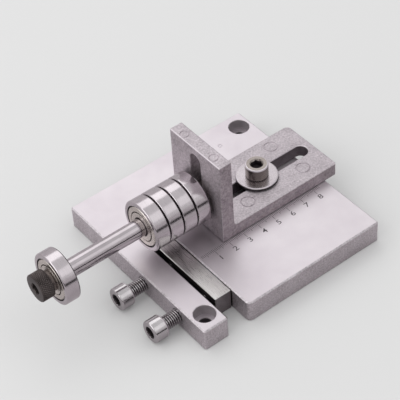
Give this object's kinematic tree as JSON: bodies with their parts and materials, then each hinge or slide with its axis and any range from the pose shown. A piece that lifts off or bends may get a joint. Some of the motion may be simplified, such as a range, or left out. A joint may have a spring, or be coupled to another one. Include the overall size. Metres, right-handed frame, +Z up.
{
  "type": "leather strip cutter",
  "caption": "Bench strip cutter: cast plate with a screw-clamped blade slot, a slotted L-shaped width fence and a height-adjustable shaft of ball-bearing rollers.",
  "frame": {"origin": "middle of the base plate's underside", "axes": "+X along the roller shaft towards the fence's foot, +Y to the closed back, +Z up"},
  "size_m": [0.1858, 0.12, 0.068],
  "materials": {
    "cast_aluminium": "matte machined casting",
    "machined_steel": "ground steel",
    "stainless_screw": "turned stainless steel",
    "chromed_shaft": "polished rod",
    "bearing_steel": "ground and polished ring",
    "shield_steel": "pressed sheet",
    "black_oxide": "blackened steel",
    "blade_steel": "ground blade steel",
    "cage_steel": "pressed cage"
  },
  "bodies": {
    "base": {"base_plate": "cast_aluminium"},
    "jaw": {"clamp_jaw": "machined_steel"},
    "clamp_screw_front": {"clamp_screw_front": "stainless_screw"},
    "clamp_screw_rear": {"clamp_screw_rear": "stainless_screw"},
    "blade": {"cutting_blade": "blade_steel"},
    "fence": {"fence": "cast_aluminium"},
    "lock_screw": {"lock_screw": "stainless_screw", "lock_washer": "stainless_screw"},
    "slot_nut": {"slot_nut": "black_oxide"},
    "shaft": {"roller_shaft": "chromed_shaft", "shaft_washer": "stainless_screw", "knob_screw": "black_oxide", "knob_spring_washer": "black_oxide", "roller_1_inner_ring": "bearing_steel", "roller_2_inner_ring": "bearing_steel", "roller_3_inner_ring": "bearing_steel", "roller_4_inner_ring": "bearing_steel", "end_roller_inner_ring": "bearing_steel"},
    "roller_1": {"roller_1_outer_ring": "bearing_steel", "roller_1_shields": "shield_steel"},
    "roller_1_cage": {"roller_1_balls": "bearing_steel", "roller_1_cage": "cage_steel"},
    "roller_2": {"roller_2_outer_ring": "bearing_steel", "roller_2_shields": "shield_steel"},
    "roller_2_cage": {"roller_2_balls": "bearing_steel", "roller_2_cage": "cage_steel"},
    "roller_3": {"roller_3_outer_ring": "bearing_steel", "roller_3_shields": "shield_steel"},
    "roller_3_cage": {"roller_3_balls": "bearing_steel", "roller_3_cage": "cage_steel"},
    "roller_4": {"roller_4_outer_ring": "bearing_steel", "roller_4_shields": "shield_steel"},
    "roller_4_cage": {"roller_4_balls": "bearing_steel", "roller_4_cage": "cage_steel"},
    "end_roller": {"end_roller_outer_ring": "bearing_steel", "end_roller_shields": "shield_steel"},
    "end_roller_cage": {"end_roller_balls": "bearing_steel", "end_roller_cage": "cage_steel"}
  },
  "joints": [
    {"name": "fence_slide", "type": "slide", "parent": "base", "child": "fence", "axis": [1, 0, 0], "range_m": [-0.017, 0.0163]},
    {"name": "lock_screw_turn", "type": "hinge", "parent": "base", "child": "lock_screw", "pos_m": [0.028, 0.004, 0.0241], "axis": [0, 0, 1], "range_deg": [0, 360]},
    {"name": "shaft_height", "type": "slide", "parent": "fence", "child": "slot_nut", "axis": [0, 0, 1], "range_m": [-0.0056, 0.021]},
    {"name": "knob_turn", "type": "hinge", "parent": "slot_nut", "child": "shaft", "pos_m": [-0.05055, 0.004, 0.0353], "axis": [1, 0, 0], "range_deg": [-360, 0]},
    {"name": "clamp_turn", "type": "hinge", "parent": "jaw", "child": "clamp_screw_rear", "pos_m": [-0.0419, -0.0071, 0.007], "axis": [1, 0, 0], "range_deg": [-634.6, 0]},
    {"name": "clamp_front_turn", "type": "hinge", "parent": "jaw", "child": "clamp_screw_front", "pos_m": [-0.0419, -0.0367, 0.007], "axis": [1, 0, 0], "range_deg": [-634.6, 0]},
    {"name": "jaw_slide", "type": "slide", "parent": "base", "child": "jaw", "axis": [1, 0, 0], "range_m": [-0.0022, 0]},
    {"name": "blade_height", "type": "slide", "parent": "base", "child": "blade", "axis": [0, 0, 1], "range_m": [0, 0.009]},
    {"name": "roller_1_spin", "type": "hinge", "parent": "shaft", "child": "roller_1", "pos_m": [-0.05055, 0.004, 0.0353], "axis": [1, 0, 0], "continuous": true},
    {"name": "roller_1_cage_spin", "type": "hinge", "parent": "shaft", "child": "roller_1_cage", "pos_m": [-0.05055, 0.004, 0.0353], "axis": [1, 0, 0], "continuous": true},
    {"name": "roller_2_spin", "type": "hinge", "parent": "shaft", "child": "roller_2", "pos_m": [-0.05055, 0.004, 0.0353], "axis": [1, 0, 0], "continuous": true},
    {"name": "roller_2_cage_spin", "type": "hinge", "parent": "shaft", "child": "roller_2_cage", "pos_m": [-0.05055, 0.004, 0.0353], "axis": [1, 0, 0], "continuous": true},
    {"name": "roller_3_spin", "type": "hinge", "parent": "shaft", "child": "roller_3", "pos_m": [-0.05055, 0.004, 0.0353], "axis": [1, 0, 0], "continuous": true},
    {"name": "roller_3_cage_spin", "type": "hinge", "parent": "shaft", "child": "roller_3_cage", "pos_m": [-0.05055, 0.004, 0.0353], "axis": [1, 0, 0], "continuous": true},
    {"name": "roller_4_spin", "type": "hinge", "parent": "shaft", "child": "roller_4", "pos_m": [-0.05055, 0.004, 0.0353], "axis": [1, 0, 0], "continuous": true},
    {"name": "roller_4_cage_spin", "type": "hinge", "parent": "shaft", "child": "roller_4_cage", "pos_m": [-0.05055, 0.004, 0.0353], "axis": [1, 0, 0], "continuous": true},
    {"name": "end_roller_spin", "type": "hinge", "parent": "shaft", "child": "end_roller", "pos_m": [-0.05055, 0.004, 0.0353], "axis": [1, 0, 0], "continuous": true},
    {"name": "end_roller_cage_spin", "type": "hinge", "parent": "shaft", "child": "end_roller_cage", "pos_m": [-0.05055, 0.004, 0.0353], "axis": [1, 0, 0], "continuous": true}
  ],
  "couplings": [
    {"joint": "clamp_turn", "follows": "jaw_slide", "rad_per_m": 5026.5},
    {"joint": "clamp_front_turn", "follows": "jaw_slide", "rad_per_m": 5026.5},
    {"joint": "roller_1_cage_spin", "follows": "roller_1_spin", "ratio": 0.619},
    {"joint": "roller_2_cage_spin", "follows": "roller_2_spin", "ratio": 0.619},
    {"joint": "roller_3_cage_spin", "follows": "roller_3_spin", "ratio": 0.619},
    {"joint": "roller_4_cage_spin", "follows": "roller_4_spin", "ratio": 0.619},
    {"joint": "end_roller_cage_spin", "follows": "end_roller_spin", "ratio": 0.619}
  ]
}
